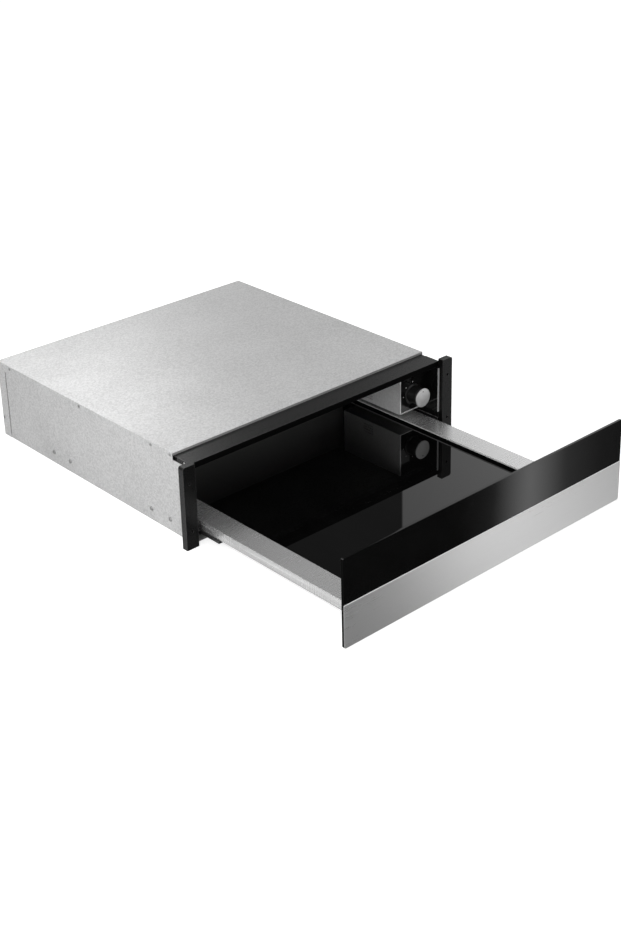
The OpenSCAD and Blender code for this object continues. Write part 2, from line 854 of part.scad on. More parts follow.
module signal_lamp() {
    color("orange") {
        rod_y([lamp_x, fascia_front - 0.6, lamp_z], lamp_r, fascia_t + 0.6);
        rod_y([lamp_x, fascia_back, lamp_z], lamp_r + 1.5, lamp_body_l);
    }
}

// Fan heater
module blower_motor() {
    color("dimgray") difference() {
        union() {
            rod_x([motor_x, blower_y, blower_z], motor_r, motor_l);
            rod_x([motor_x - motor_neck, blower_y, blower_z], hub_r, motor_neck + 0.5);
        }
        rod_x([motor_x - motor_neck - 0.5, blower_y, blower_z], axle_r + shaft_fit, motor_l * 0.7);
    }
}

module blower_scroll() {
    color("lightgray") translate([motor_x - scroll_l, blower_y, blower_z]) rotate([0, 90, 0]) difference() {
        cylinder(r = scroll_r, h = scroll_l);
        translate([0, 0, -1]) cylinder(r = scroll_r - scroll_t, h = scroll_l - scroll_t + 1);
        cylinder(r = hub_r + 2, h = scroll_l + 1);
    }
}

module blower_wheel() {
    hub_x = motor_x - wheel_gap - wheel_l;
    color("white") {
        rod_x([hub_x, blower_y, blower_z], axle_r, axle_l);
        translate([hub_x, blower_y, blower_z]) rotate([0, 90, 0]) {
            cylinder(r = hub_r, h = wheel_l);
            translate([0, 0, wheel_l - 1.5 * blade_t]) cylinder(r = wheel_r, h = 1.5 * blade_t);
            for (a = [0 : 360 / blade_count : 359]) rotate(a)
                translate([wheel_r - blade_l - 0.5, -blade_t / 2, 0]) cube([blade_l, blade_t, wheel_l]);
        }
    }
}

module heater_block() {
    fins = 5;
    color("darkgoldenrod") difference() {
        block([box_x0 + box_t, blower_y - heater_l / 2, heater_z],
              [box_x0 + box_t + heater_t, blower_y + heater_l / 2, heater_z + heater_h]);
        for (i = [0 : fins - 1])
            block([box_x0, blower_y - heater_l / 2 + fin_edge + i * fin_pitch, heater_z + fin_edge],
                  [box_x0 + box_t + heater_t + 1, blower_y - heater_l / 2 + fin_edge + i * fin_pitch + fin_gap,
                   heater_z + heater_h - fin_edge]);
    }
}

module thermal_cutout() {
    color("black") translate([box_x0 + box_t + heater_t / 2, blower_y, heater_z + heater_h]) {
        cylinder(r = cutout_r, h = cutout_r);
        translate([0, 0, cutout_r]) cylinder(r = cutout_r * 0.6, h = cutout_r * 0.4);
    }
}

// Supply inside the housing
module terminal_block() {
    color("ivory") difference() {
        block([block_x0, rear_in - block_d, block_z], [block_x0 + block_w, rear_in, block_z + block_h]);
        for (i = [-1 : 1])
            translate([block_x0 + block_w / 2 + i * block_hole_pitch, rear_in - block_d / 2,
                       block_z + block_h * 0.75])
                cylinder(r = block_hole_r, h = block_h);
    }
}

module inner_lead() {
    color("#333333") rod_y([lead_x, box_y1, lead_z], lead_r, rear_in - block_d - box_y1);
}

module lead_clips() {
    clip_r = lead_r + clip_wall;
    color("white") for (y = clip_ys) difference() {
        block([lead_x - clip_r, y, lead_z - clip_r], [liner_in, y + clip_l, lead_z + clip_r]);
        rod_y([lead_x, y - 1, lead_z], lead_r, clip_l + 2);
    }
}

module inlet_gland() {
    gland_l = gland_washer + sheet_t + gland_boss_l;
    color("#1b1b1b") difference() {
        union() {
            rod_y([gland_x, rear_in - gland_washer, gland_z], gland_neck_r + gland_washer, gland_washer);
            rod_y([gland_x, rear_in - gland_washer, gland_z], gland_neck_r, gland_l);
            rod_y([gland_x, rear_out, gland_z], gland_neck_r + gland_flange, gland_flange);
        }
        rod_y([gland_x, rear_in - gland_washer - 1, gland_z], gland_r, gland_l + 2);
    }
}

// Fasteners, each group one node of separate solids
module slide_screws() {
    color("whitesmoke") both_sides() for (y = rail_screw_ys)
        screw_x([side_out, y, rail_screw_z], rail_head_r, rail_head_h, rail_screw_r, sheet_t + rail_t);
}

module cover_screws() {
    color("gray") {
        both_sides() {
            for (y = cover_screw_ys)
                screw_x([side_x, y, cover_screw_z], cover_head_r, cover_head_h, cover_screw_r, 2 * sheet_t);
            screw_x([side_x, wrap_screw_y, wrap_screw_z], cover_head_r, cover_head_h, cover_screw_r,
                    2 * sheet_t);
        }
        for (x = rear_screw_xs)
            translate([x, rear_y, cover_screw_z]) rotate([0, 0, 90])
                screw_x([0, 0, 0], cover_head_r, cover_head_h, cover_screw_r, 2 * sheet_t);
    }
}

module frame_rivets() {
    color("white") both_sides() {
        rod_x([liner_out, rivet_y, rivet_z], rivet_r, 2 * frame_t);
        translate([side_in, rivet_y, rivet_z]) rotate([0, 90, 0])
            cylinder(r1 = rivet_head_r, r2 = rivet_head_r * 0.6, h = rivet_head_h);
    }
}

top_cover();
side_panel(-1);  // side_panel_left
side_panel(1);  // side_panel_right
rear_panel();
bottom_panel();
front_post(-1);  // front_post_left
front_post(1);  // front_post_right
top_rail();
front_sill();
side_liner(-1);  // side_liner_left
side_liner(1);  // side_liner_right
edge_trims();
ceiling_liner();
insulation_mat();
cabinet_rail(-1);  // cabinet_rail_left
cabinet_rail(1);  // cabinet_rail_right
rail_glides();
middle_rail(-1);  // middle_rail_left
middle_rail(1);  // middle_rail_right
drawer_rail(-1);  // drawer_rail_left
drawer_rail(1);  // drawer_rail_right
front_catches();
drawer_side(-1);  // drawer_side_left
drawer_side(1);  // drawer_side_right
base_pan();
glass_pads();
glass_floor();
back_wall();
panel_carrier();
panel_glass();
panel_strip();
front_brackets();
closing_buffers();
latch_striker();
latch_body();
latch_plunger();
control_box();
control_fascia();
fascia_trim();
dial_marks();
knob_bezel();
knob();
knob_cap();
control_shaft();
thermostat();
signal_lamp();
blower_motor();
blower_scroll();
blower_wheel();
heater_block();
thermal_cutout();
terminal_block();
inner_lead();
lead_clips();
inlet_gland();
slide_screws();
cover_screws();
frame_rivets();
panel_screws();
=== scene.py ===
"""Built-in warming drawer with its drawer open: finished meshes, materials, lights and camera."""

import json
import math

import bmesh
import bpy
from mathutils import Matrix, Vector

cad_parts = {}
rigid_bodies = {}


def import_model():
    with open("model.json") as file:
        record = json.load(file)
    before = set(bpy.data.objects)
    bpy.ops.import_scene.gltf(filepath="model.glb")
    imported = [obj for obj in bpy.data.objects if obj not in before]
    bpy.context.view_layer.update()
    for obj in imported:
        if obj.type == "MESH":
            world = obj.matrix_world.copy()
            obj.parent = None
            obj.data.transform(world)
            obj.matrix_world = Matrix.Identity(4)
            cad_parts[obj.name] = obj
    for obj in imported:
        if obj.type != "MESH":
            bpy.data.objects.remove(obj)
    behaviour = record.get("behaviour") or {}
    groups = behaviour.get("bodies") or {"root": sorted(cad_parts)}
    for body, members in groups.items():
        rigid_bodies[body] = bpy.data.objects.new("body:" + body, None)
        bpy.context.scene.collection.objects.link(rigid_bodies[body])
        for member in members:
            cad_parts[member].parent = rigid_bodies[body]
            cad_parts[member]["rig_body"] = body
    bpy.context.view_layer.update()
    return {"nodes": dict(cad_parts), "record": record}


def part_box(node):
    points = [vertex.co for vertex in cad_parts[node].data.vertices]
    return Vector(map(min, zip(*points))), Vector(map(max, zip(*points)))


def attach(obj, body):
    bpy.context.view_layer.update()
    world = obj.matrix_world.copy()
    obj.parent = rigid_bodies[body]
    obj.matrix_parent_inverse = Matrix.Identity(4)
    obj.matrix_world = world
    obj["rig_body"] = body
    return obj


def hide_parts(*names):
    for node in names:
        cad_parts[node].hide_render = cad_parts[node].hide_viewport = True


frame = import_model()
NODES = frame["nodes"]
SLOTS = {entry["node"]: entry["material_slot"] for entry in frame["record"]["subparts"]}
MM = 0.001
PLAIN = (1, 1, 1)

# Where a value of one noise, of a sum of two and of a sum of three starts and ends
ONE_NOISE, TWO_NOISES, THREE_NOISES = (0.3, 0.7), (0.7, 1.3), (0.9, 2.1)


# Node helpers
def new_material(name):
    """An empty node material with its Principled shader."""
    mat = bpy.data.materials.new(name)
    mat.use_nodes = True
    mat.node_tree.nodes.clear()
    shader = mat.node_tree.nodes.new("ShaderNodeBsdfPrincipled")
    output = mat.node_tree.nodes.new("ShaderNodeOutputMaterial")
    mat.node_tree.links.new(shader.outputs["BSDF"], output.inputs["Surface"])
    return mat, shader


def add_node(mat, kind, links=(), **values):
    """A node with its settings; links are (its input, another node's output)."""
    node = mat.node_tree.nodes.new(kind)
    for key, value in values.items():
        if hasattr(node, key):
            setattr(node, key, value)
        else:
            node.inputs[key.replace("_", " ")].default_value = value
    for target, source in links:
        mat.node_tree.links.new(source, node.inputs[target])
    return node


def noise(mat, scale, stretch=PLAIN, detail=3.0, rough=0.55):
    """Noise in the object's frame; scale is in cells per metre, and stretch multiplies it on each axis."""
    coords = add_node(mat, "ShaderNodeTexCoord")
    mapping = add_node(mat, "ShaderNodeMapping", [("Vector", coords.outputs["Object"])])
    mapping.inputs["Scale"].default_value = stretch
    return add_node(mat, "ShaderNodeTexNoise", [("Vector", mapping.outputs["Vector"])],
                    Scale=scale, Detail=detail, Roughness=rough)


def spread(mat, source, low, high, start=ONE_NOISE[0], end=ONE_NOISE[1]):
    """Maps a value from start..end to low..high."""
    node = add_node(mat, "ShaderNodeMapRange", [("Value", source)], clamp=True)
    for name, value in (("From Min", start), ("From Max", end), ("To Min", low), ("To Max", high)):
        node.inputs[name].default_value = value
    return node.outputs["Result"]


def tint(mat, source, dark, light):
    """Mixes two colours by a value; each is red, green and blue, or another node's output."""
    mix = add_node(mat, "ShaderNodeMix", [("Factor", source)], data_type="RGBA")
    for name, colour in (("A", dark), ("B", light)):
        if isinstance(colour, tuple):
            mix.inputs[name].default_value = (*colour, 1)
        else:
            mat.node_tree.links.new(colour, mix.inputs[name])
    return mix.outputs["Result"]


def combine(mat, kind, operation, first, second):
    """The output of a node that works on two inputs, each a number, a vector or another node's output."""
    node = add_node(mat, kind, operation=operation)
    for index, value in enumerate((first, second)):
        if isinstance(value, (int, float, tuple)):
            node.inputs[index].default_value = value
        else:
            mat.node_tree.links.new(value, node.inputs[index])
    return node.outputs["Value"] if operation in ("LENGTH", "DOT_PRODUCT") else node.outputs[0]


def maths(mat, operation, first, second=0.0):
    """The output of a maths node on numbers."""
    return combine(mat, "ShaderNodeMath", operation, first, second)


def vector_maths(mat, operation, first, second=(0, 0, 0)):
    """The output of a maths node on vectors."""
    return combine(mat, "ShaderNodeVectorMath", operation, first, second)


def drive(mat, node, **sources):
    """Links other nodes' outputs to the node's inputs of those names."""
    for name, source in sources.items():
        mat.node_tree.links.new(source, node.inputs[name.replace("_", " ")])


def bump(mat, shader, source, height, strength=1.0):
    """A relief on the shader, of that height in metres."""
    node = add_node(mat, "ShaderNodeBump", [("Height", source)], Strength=strength, Distance=height)
    drive(mat, shader, Normal=node.outputs["Normal"])


def edge_mask(mat, reach):
    """1 along an object's edges, 0 on its faces, broken up a little by noise; it places painted edge
    highlights, with some wear.
    """
    rounded = add_node(mat, "ShaderNodeBevel", samples=4, Radius=reach)
    plain = add_node(mat, "ShaderNodeNewGeometry")
    same = vector_maths(mat, "DOT_PRODUCT", rounded.outputs["Normal"], plain.outputs["Normal"])
    edge, face = 0.92, 0.995
    mask = spread(mat, same, 1, 0, edge, face)
    patchy = spread(mat, noise(mat, 60).outputs["Fac"], 0.55, 1.0)
    return maths(mat, "MULTIPLY", mask, patchy)


def finish(name, dark, light, metallic, rough, grain, stretch=PLAIN, height=0.0, ior_level=0.5,
           detail=3.0, wear_and_highlight=None):
    """A material whose colour, gloss and bump follow one noise; the last argument is the colour of its
    edges: a painted highlight along them, with some rubbed wear.
    """
    mat, shader = new_material(name)
    value = noise(mat, grain, stretch, detail).outputs["Fac"]
    colour = tint(mat, spread(mat, value, 0, 1), dark, light)
    if wear_and_highlight:
        # Edges lighter than the faces: a painted highlight where rounded edges would catch the light, with
        # some rubbed wear
        colour = tint(mat, edge_mask(mat, 0.6 * MM), colour, wear_and_highlight)
    drive(mat, shader, Base_Color=colour, Roughness=spread(mat, value, *rough))
    shader.inputs["Metallic"].default_value = metallic
    shader.inputs["Specular IOR Level"].default_value = ior_level
    if height:
        bump(mat, shader, value, height)
    return mat


def grey(value):
    """Red, green and blue of a grey."""
    return (value, value, value)


# Materials
def galvanised(name, dark, light):
    """Zinc sheet: a fine spangle of matt and bright crystals over slow patches."""
    mat, shader = new_material(name)
    coords = add_node(mat, "ShaderNodeTexCoord")
    crystals_per_metre, grains_per_metre, patches_per_metre = 420, 1500, 9
    crystals = add_node(mat, "ShaderNodeTexVoronoi", [("Vector", coords.outputs["Object"])],
                        Scale=crystals_per_metre)
    fine = noise(mat, grains_per_metre, detail=2).outputs["Fac"]
    slow = noise(mat, patches_per_metre, detail=4).outputs["Fac"]
    cell = add_node(mat, "ShaderNodeSeparateColor", [("Color", crystals.outputs["Color"])])
    mixed = maths(mat, "ADD", maths(mat, "ADD", cell.outputs["Red"], fine), slow)
    share = spread(mat, mixed, 0, 1, *THREE_NOISES)
    drive(mat, shader, Base_Color=tint(mat, share, grey(dark), grey(light)),
          Roughness=spread(mat, mixed, 0.5, 0.38, *THREE_NOISES))
    shader.inputs["Metallic"].default_value = 0.15
    bump(mat, shader, fine, 0.04 * MM, 0.5)
    return mat


def brushed(name, along, base, rough):
    """Stainless steel with long thin streaks along the given axes, in colour, gloss and relief."""
    mat, shader = new_material(name)
    streaks_per_metre, patches_per_metre = 1600, 14
    streak_stretch, patch_stretch, contrast, gloss_change = 0.012, 0.25, 0.025, 0.01
    streaks = noise(mat, streaks_per_metre, [streak_stretch if axis in along else 1.0 for axis in "XYZ"],
                    detail=4, rough=0.7).outputs["Fac"]
    patches = noise(mat, patches_per_metre, [patch_stretch if axis in along else 1.0 for axis in "XYZ"],
                    detail=3).outputs["Fac"]
    value = maths(mat, "ADD", streaks, patches)
    low, high = grey(base * (1 - contrast)), grey(base * (1 + contrast))
    tangent = add_node(mat, "ShaderNodeTangent", direction_type="RADIAL", axis="X")
    drive(mat, shader, Base_Color=tint(mat, spread(mat, value, 0, 1, *TWO_NOISES), low, high),
          Roughness=spread(mat, value, rough + gloss_change, rough - gloss_change, *TWO_NOISES),
          Tangent=tangent.outputs["Tangent"])
    shader.inputs["Metallic"].default_value = 0.85
    shader.inputs["Anisotropic"].default_value = 1.0
    bump(mat, shader, streaks, 0.005 * MM, 0.05)
    return mat


def turned_cap():
    """Satin aluminium with fine turned rings round the knob's axis."""
    mat, shader = new_material("cap_aluminium")
    coords = add_node(mat, "ShaderNodeTexCoord")
    offset = vector_maths(mat, "SUBTRACT", coords.outputs["Object"], (KNOB_AXIS.x, 0, KNOB_AXIS.z))
    radius = vector_maths(mat, "LENGTH", vector_maths(mat, "MULTIPLY", offset, (1, 0, 1)))
    radians_per_metre = 9000
    wave = maths(mat, "SINE", maths(mat, "MULTIPLY", radius, radians_per_metre))
    value = maths(mat, "ADD", wave, noise(mat, 900, detail=3).outputs["Fac"])
    wave_and_noise = (-0.5, 1.5)
    share = spread(mat, value, 0, 1, *wave_and_noise)
    drive(mat, shader, Base_Color=tint(mat, share, grey(0.56), grey(0.68)),
          Roughness=spread(mat, value, 0.42, 0.33, *wave_and_noise))
    shader.inputs["Metallic"].default_value = 0.85
    bump(mat, shader, wave, 0.01 * MM, 0.3)
    return mat


def black_glass(name, ior_level, rough):
    """Opaque black glass with faint wiping marks in its gloss."""
    mat, shader = new_material(name)
    marks = noise(mat, 22, (1, 0.35, 1), detail=5).outputs["Fac"]
    drive(mat, shader, Base_Color=tint(mat, spread(mat, marks, 0, 1), grey(0.002), grey(0.0035)),
          Roughness=spread(mat, marks, rough, rough + 0.01, 0.45, 0.75))
    shader.inputs["Specular IOR Level"].default_value = ior_level
    return mat


def inner_face_shade_and_highlight():
    """A drawer side's face towards the glass: painted shade in matt black over most of it, and a painted
    highlight in light grey along its top, where the fold meets the flange.
    """
    # Matt black over the face: painted shade below the flange
    mat = finish("inner_face_shade_and_highlight", grey(0.001), grey(0.0025), 0.0, (0.6, 0.75), 500, ior_level=0.03)
    shader = mat.node_tree.nodes["Principled BSDF"]
    black = shader.inputs["Base Color"].links[0].from_socket
    # Light grey along the top: a painted highlight on the fold
    steel = tint(mat, noise(mat, 900).outputs["Fac"], grey(0.6), grey(0.8))
    coords = add_node(mat, "ShaderNodeTexCoord")
    axes = add_node(mat, "ShaderNodeSeparateXYZ", [("Vector", coords.outputs["Object"])])
    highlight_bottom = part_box("drawer_side_right")[1].z - 2.5 * MM
    share = spread(mat, axes.outputs["Z"], 0, 1, highlight_bottom - 0.1 * MM, highlight_bottom)
    drive(mat, shader, Base_Color=tint(mat, share, black, steel))
    return mat


KNOB_LOW, KNOB_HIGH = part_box("knob_cap")
KNOB_AXIS = (KNOB_LOW + KNOB_HIGH) / 2

MATERIALS = {
    "zinc_sheet": galvanised("zinc_sheet", 0.53, 0.71),
    # The control box's zinc is lighter than the housing's: painted light, making up for the shade inside
    # the cavity
    "box_zinc_painted_light": galvanised("box_zinc_painted_light", 0.78, 0.90),
    # Black paint with lighter edges: a painted highlight along them, with some wear
    "black_paint": finish("black_paint", grey(0.003), grey(0.006), 0.0, (0.25, 0.35), 700, height=0.02 * MM,
                          ior_level=0.30, wear_and_highlight=grey(0.16)),
    # Black gloss with lighter edges: a painted highlight along them, with some wear
    "black_gloss": finish("black_gloss", grey(0.004), grey(0.007), 0.0, (0.03, 0.07), 160,
                          wear_and_highlight=grey(0.06)),
    "matt_black": finish("matt_black", grey(0.001), grey(0.0025), 0.0, (0.6, 0.75), 500, ior_level=0.03),
    "inner_face_shade_and_highlight": inner_face_shade_and_highlight(),
    "ground_edge": finish("ground_edge", grey(0.24), grey(0.32), 0.0, (0.3, 0.4), 900),
    # White on the strip's top chamfer: a painted highlight where the edge catches the light
    "painted_highlight_edge": finish("painted_highlight_edge", grey(0.92), grey(0.99), 0.0, (0.3, 0.4), 900),
    # Darker zinc on the cover's front lip: painted shade, the lip being in shadow
    "lip_zinc_painted_shade": finish("lip_zinc_painted_shade", grey(0.22), grey(0.32), 0.15, (0.4, 0.5), 700),
    "dark_enamel": finish("dark_enamel", grey(0.07), grey(0.10), 0.0, (0.25, 0.35), 500),
    "bright_trim": finish("bright_trim", grey(0.74), grey(0.86), 0.6, (0.3, 0.4), 500),
    "insulation": finish("insulation", (0.42, 0.36, 0.22), (0.68, 0.6, 0.42), 0.0, (0.9, 1.0), 400,
                         (1, 1, 4), height=0.6 * MM, ior_level=0.1, detail=6),
    # Rail steel with much lighter edges: a painted highlight along them, with some wear
    "rail_steel": finish("rail_steel", grey(0.05), grey(0.09), 0.8, (0.28, 0.42), 600, (1, 0.1, 1),
                         wear_and_highlight=grey(0.45)),
    "light_plastic": finish("light_plastic", (0.68, 0.67, 0.62), (0.76, 0.75, 0.7), 0.0, (0.45, 0.55), 500),
    "black_plastic": finish("black_plastic", grey(0.010), grey(0.016), 0.0, (0.28, 0.40), 900,
                            height=0.02 * MM),
    "grey_plastic": finish("grey_plastic", grey(0.18), grey(0.24), 0.0, (0.4, 0.5), 700, height=0.02 * MM),
    "brushed_steel": brushed("brushed_steel", "XZ", 0.78, 0.27),
    "strip_steel": brushed("strip_steel", "X", 0.71, 0.28),
    "pad_rubber": finish("pad_rubber", grey(0.018), grey(0.03), 0.0, (0.6, 0.75), 800, height=0.03 * MM),
    "lead_rubber": finish("lead_rubber", grey(0.02), grey(0.03), 0.0, (0.55, 0.7), 800),
    "black_glass": black_glass("black_glass", 0.5, 0.0),
    "panel_glass": black_glass("panel_glass", 0.4, 0.035),
    "grey_sheet": finish("grey_sheet", grey(0.42), grey(0.50), 0.35, (0.35, 0.5), 900, height=0.02 * MM),
    "white_print": finish("white_print", grey(0.55), grey(0.62), 0.0, (0.4, 0.5), 900),
    "cap_aluminium": turned_cap(),
    "lamp_lens": finish("lamp_lens", (0.03, 0.008, 0.004), (0.05, 0.012, 0.005), 0.0, (0.08, 0.14), 300),
    "screw_steel": finish("screw_steel", grey(0.42), grey(0.58), 0.9, (0.25, 0.4), 1200),
}
# Nodes whose material differs from their slot in the record
NODE_MATERIALS = {"panel_strip": "strip_steel", "panel_glass": "panel_glass",
                  "ceiling_liner": "dark_enamel", "control_box": "box_zinc_painted_light"}
# Faces that differ from the rest of their node: direction they face, and their material
LEFT, RIGHT, FRONT, FRONT_UP = (-1, 0, 0), (1, 0, 0), (0, -1, 0), (0, -1, 1)
FACE_MATERIALS = {
    # Matt black on the rail's front face: painted shade under the rail's edge
    "top_rail": [(FRONT, "matt_black")], "top_cover": [(FRONT, "lip_zinc_painted_shade")],
    "panel_glass": [(LEFT, "matt_black"), (RIGHT, "matt_black"), (FRONT_UP, "ground_edge")],
    # The strip's white top chamfer is a painted highlight
    "panel_strip": [(FRONT_UP, "painted_highlight_edge")],
    # The drawer sides' inner faces carry painted shade under a painted highlight
    "drawer_side_left": [(RIGHT, "inner_face_shade_and_highlight")], "drawer_side_right": [(LEFT, "inner_face_shade_and_highlight")],
}


def paint(obj, node):
    """The node's finish on obj, and its slot in the record."""
    obj.data.materials.clear()
    obj.data.materials.append(MATERIALS[NODE_MATERIALS.get(node, SLOTS[node])])


def stand_for(obj, node):
    """obj rides where the CAD node rides, and is shown in its place."""
    same_way = 0.9
    paint(obj, node)
    for slot, (facing, finish_name) in enumerate(FACE_MATERIALS.get(node, []), 1):
        obj.data.materials.append(MATERIALS[finish_name])
        for face in obj.data.polygons:
            if face.normal.dot(Vector(facing).normalized()) > same_way:
                face.material_index = slot
    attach(obj, NODES[node]["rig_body"])
    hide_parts(node)


def mesh_object(name, bm):
    """A linked object from a bmesh, which it frees."""
    mesh = bpy.data.meshes.new(name)
    bm.normal_update()
    bm.to_mesh(mesh)
    bm.free()
    obj = bpy.data.objects.new(name, mesh)
    bpy.context.scene.collection.objects.link(obj)
    return obj


def smooth(obj, angle):
    """Smooth shading below that angle between faces, in degrees."""
    obj.data.shade_smooth()
    for edge in obj.data.edges:
        edge.use_edge_sharp = False
    bm = bmesh.new()
    bm.from_mesh(obj.data)
    for edge in bm.edges:
        edge.smooth = len(edge.link_faces) == 2 and edge.calc_face_angle(0) < math.radians(angle)
    bm.to_mesh(obj.data)
    bm.free()


def narrow_side(edge):
    """How far the narrower of the edge's two faces reaches away from it."""
    return min(face.calc_area() / edge.calc_length() for face in edge.link_faces)


def eased(node, fold, free, chamfer=0):
    """The CAD node's shape with rounded folds and eased free edges, in millimetres.

    An edge between two wide faces is a fold or a moulded corner; one beside a sheet's cut face is free.
    chamfer is the width of the flat ground on a plate's upper front edge."""
    weld, on_plane = 1e-6, 1e-5
    room_for_fold, sharpest_curve = 2.6, math.radians(40)
    bm = bmesh.new()
    bm.from_mesh(NODES[node].data)
    bmesh.ops.remove_doubles(bm, verts=bm.verts, dist=weld)
    bmesh.ops.dissolve_limit(bm, angle_limit=math.radians(1), verts=bm.verts, edges=bm.edges)
    if chamfer:
        low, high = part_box(node)
        ground = [edge for edge in bm.edges
                  if all(abs(vert.co.z - high.z) < on_plane and abs(vert.co.y - low.y) < on_plane
                         for vert in edge.verts)]
        bmesh.ops.bevel(bm, geom=ground, offset=chamfer * MM, segments=1, affect="EDGES")
        bmesh.ops.remove_doubles(bm, verts=bm.verts, dist=weld)
    weight = bm.edges.layers.float.new("bevel_weight_edge")
    for edge in bm.edges:
        if len(edge.link_faces) == 2 and edge.calc_face_angle(0) > sharpest_curve:
            folded = narrow_side(edge) > room_for_fold * fold * MM
            edge[weight] = 1.0 if folded else min(1.0, free / fold)
    obj = mesh_object(node + "_eased", bm)
    bevel = obj.modifiers.new("ease", "BEVEL")
    bevel.width = fold * MM
    bevel.segments = 3
    bevel.limit_method = "WEIGHT"
    bevel.material = 0
    bevel.use_clamp_overlap = True
    normals = obj.modifiers.new("normals", "WEIGHTED_NORMAL")
    normals.keep_sharp = True
    smooth(obj, 75)
    stand_for(obj, node)


def lathe(name, profile, x, z, steps=72):
    """Turns (radius, y) pairs round an axis along Y through x and z."""
    bm = bmesh.new()
    rings = []
    for radius, y in profile:
        turns = [2 * math.pi * i / steps for i in range(steps)] if radius else [0]
        rings.append([bm.verts.new((x + radius * math.cos(turn), y, z + radius * math.sin(turn)))
                      for turn in turns])
    for a, b in zip(rings, rings[1:]):
        for i in range(steps):
            j = (i + 1) % steps
            corners = [a[i % len(a)], a[j % len(a)], b[j % len(b)], b[i % len(b)]]
            face = list(dict.fromkeys(corners))
            if len(face) > 2:
                bm.faces.new(face)
    bmesh.ops.recalc_face_normals(bm, faces=bm.faces)
    return mesh_object(name, bm)


# Radius of each node's folds or corners, and of its free edges, in millimetres
EASED = {
    "side_panel_left": (1.2, 0.2), "side_panel_right": (1.2, 0.2), "rear_panel": (1.2, 0.2),
    "bottom_panel": (0.8, 0.15), "front_post_left": (1.1, 0.4), "front_post_right": (1.1, 0.4),
    "top_rail": (0.9, 0.35), "front_sill": (0.9, 0.35), "edge_trims": (0.3, 0.3),
    "cabinet_rail_left": (1.0, 0.3), "cabinet_rail_right": (1.0, 0.3),
    "middle_rail_left": (0.8, 0.3), "middle_rail_right": (0.8, 0.3),
    "drawer_rail_left": (0.8, 0.3), "drawer_rail_right": (0.8, 0.3), "front_catches": (0.5, 0.5),
    "drawer_side_left": (1.1, 0.25), "drawer_side_right": (1.1, 0.25), "base_pan": (0.8, 0.2),
    "back_wall": (0.9, 0.3), "panel_carrier": (0.5, 0.3), "glass_floor": (0.5, 0.5),
    "front_brackets": (0.8, 0.3), "closing_buffers": (0.5, 0.5), "latch_striker": (0.6, 0.3),
    "latch_body": (0.6, 0.3), "latch_plunger": (0.5, 0.5), "control_box": (0.9, 0.2),
    "control_fascia": (0.4, 0.3), "fascia_trim": (0.4, 0.4), "slide_screws": (0.3, 0.2),
    "cover_screws": (0.25, 0.2), "frame_rivets": (0.25, 0.2), "panel_screws": (0.3, 0.2),
    "terminal_block": (0.5, 0.3), "inlet_gland": (0.5, 0.3),
}
for node_name, radii in EASED.items():
    eased(node_name, *radii)
eased("panel_glass", 0.15, 0.15, chamfer=1.1)
eased("panel_strip", 0.1, 0.1, chamfer=0.9)


def top_cover():
    """Top sheet with rounded folds, turned down on all sides, less far along its front lip."""
    low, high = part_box("top_cover")
    rail_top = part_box("top_rail")[1].z
    sheet, fold_r, on_plane = 0.8 * MM, 1.0 * MM, 1e-6
    bm = bmesh.new()
    bmesh.ops.create_cube(bm, size=1.0)
    for vert in bm.verts:
        vert.co = Vector([low[i] if vert.co[i] < 0 else high[i] for i in range(3)])
    bottom = [face for face in bm.faces if face.normal.z < -0.5]
    bmesh.ops.delete(bm, geom=bottom, context="FACES_ONLY")
    bmesh.ops.bisect_plane(bm, geom=bm.verts[:] + bm.edges[:] + bm.faces[:], plane_co=(0, 0, rail_top),
                           plane_no=(0, 0, 1))
    below = [face for face in bm.faces
             if face.normal.y < -0.5 and face.calc_center_median().z < rail_top]
    bmesh.ops.delete(bm, geom=below, context="FACES_ONLY")
    folds = [edge for edge in bm.edges
             if len(edge.link_faces) == 2 and edge.calc_face_angle(0) > math.radians(57)
             and all(abs(vert.co.z - high.z) < on_plane for vert in edge.verts)]
    bmesh.ops.bevel(bm, geom=folds, offset=fold_r, segments=4, affect="EDGES", profile=0.5)
    obj = mesh_object("top_cover_sheet", bm)
    solid = obj.modifiers.new("sheet", "SOLIDIFY")
    solid.thickness = sheet
    solid.offset = -1
    solid.use_even_offset = True
    smooth(obj, 50)
    stand_for(obj, "top_cover")


top_cover()


# Control knob
def turned(name, axis_z, *pieces, steps=72):
    """A turned piece on the knob's axis, or above it. Each of pieces is a plane across the axis, at y,
    with the profile's points on it: (radius, step behind the plane), in millimetres."""
    profile = [(radius * MM, plane + step * MM) for plane, points in pieces for radius, step in points]
    return lathe(name, profile, KNOB_AXIS.x, axis_z, steps)


def knob_cap():
    """Shallow cap with a rounded rim, and the black dot on its face."""
    low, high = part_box("knob_cap")
    radius, rim = (high.x - low.x) / 2 / MM, 0.35
    cap = turned("knob_cap_turned", KNOB_AXIS.z,
                 (low.y, [(0, 0), (radius - 3 * rim, 0), (radius - rim, 0.4 * rim), (radius, 1.6 * rim)]),
                 (high.y, [(radius, -rim), (radius - rim, 0), (0, 0)]))
    smooth(cap, 25)
    stand_for(cap, "knob_cap")
    dot_r, proud, sunk, dot_in = 1.35, 0.02, 0.3, 5.5
    dot = turned("knob_dot", KNOB_AXIS.z + (radius - dot_in) * MM,
                 (low.y, [(0, -proud), (dot_r - 0.15, -proud), (dot_r, 0.05), (dot_r, sunk), (0, sunk)]),
                 steps=32)
    dot.data.materials.append(MATERIALS["black_plastic"])
    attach(dot, NODES["knob_cap"]["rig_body"])
    return radius


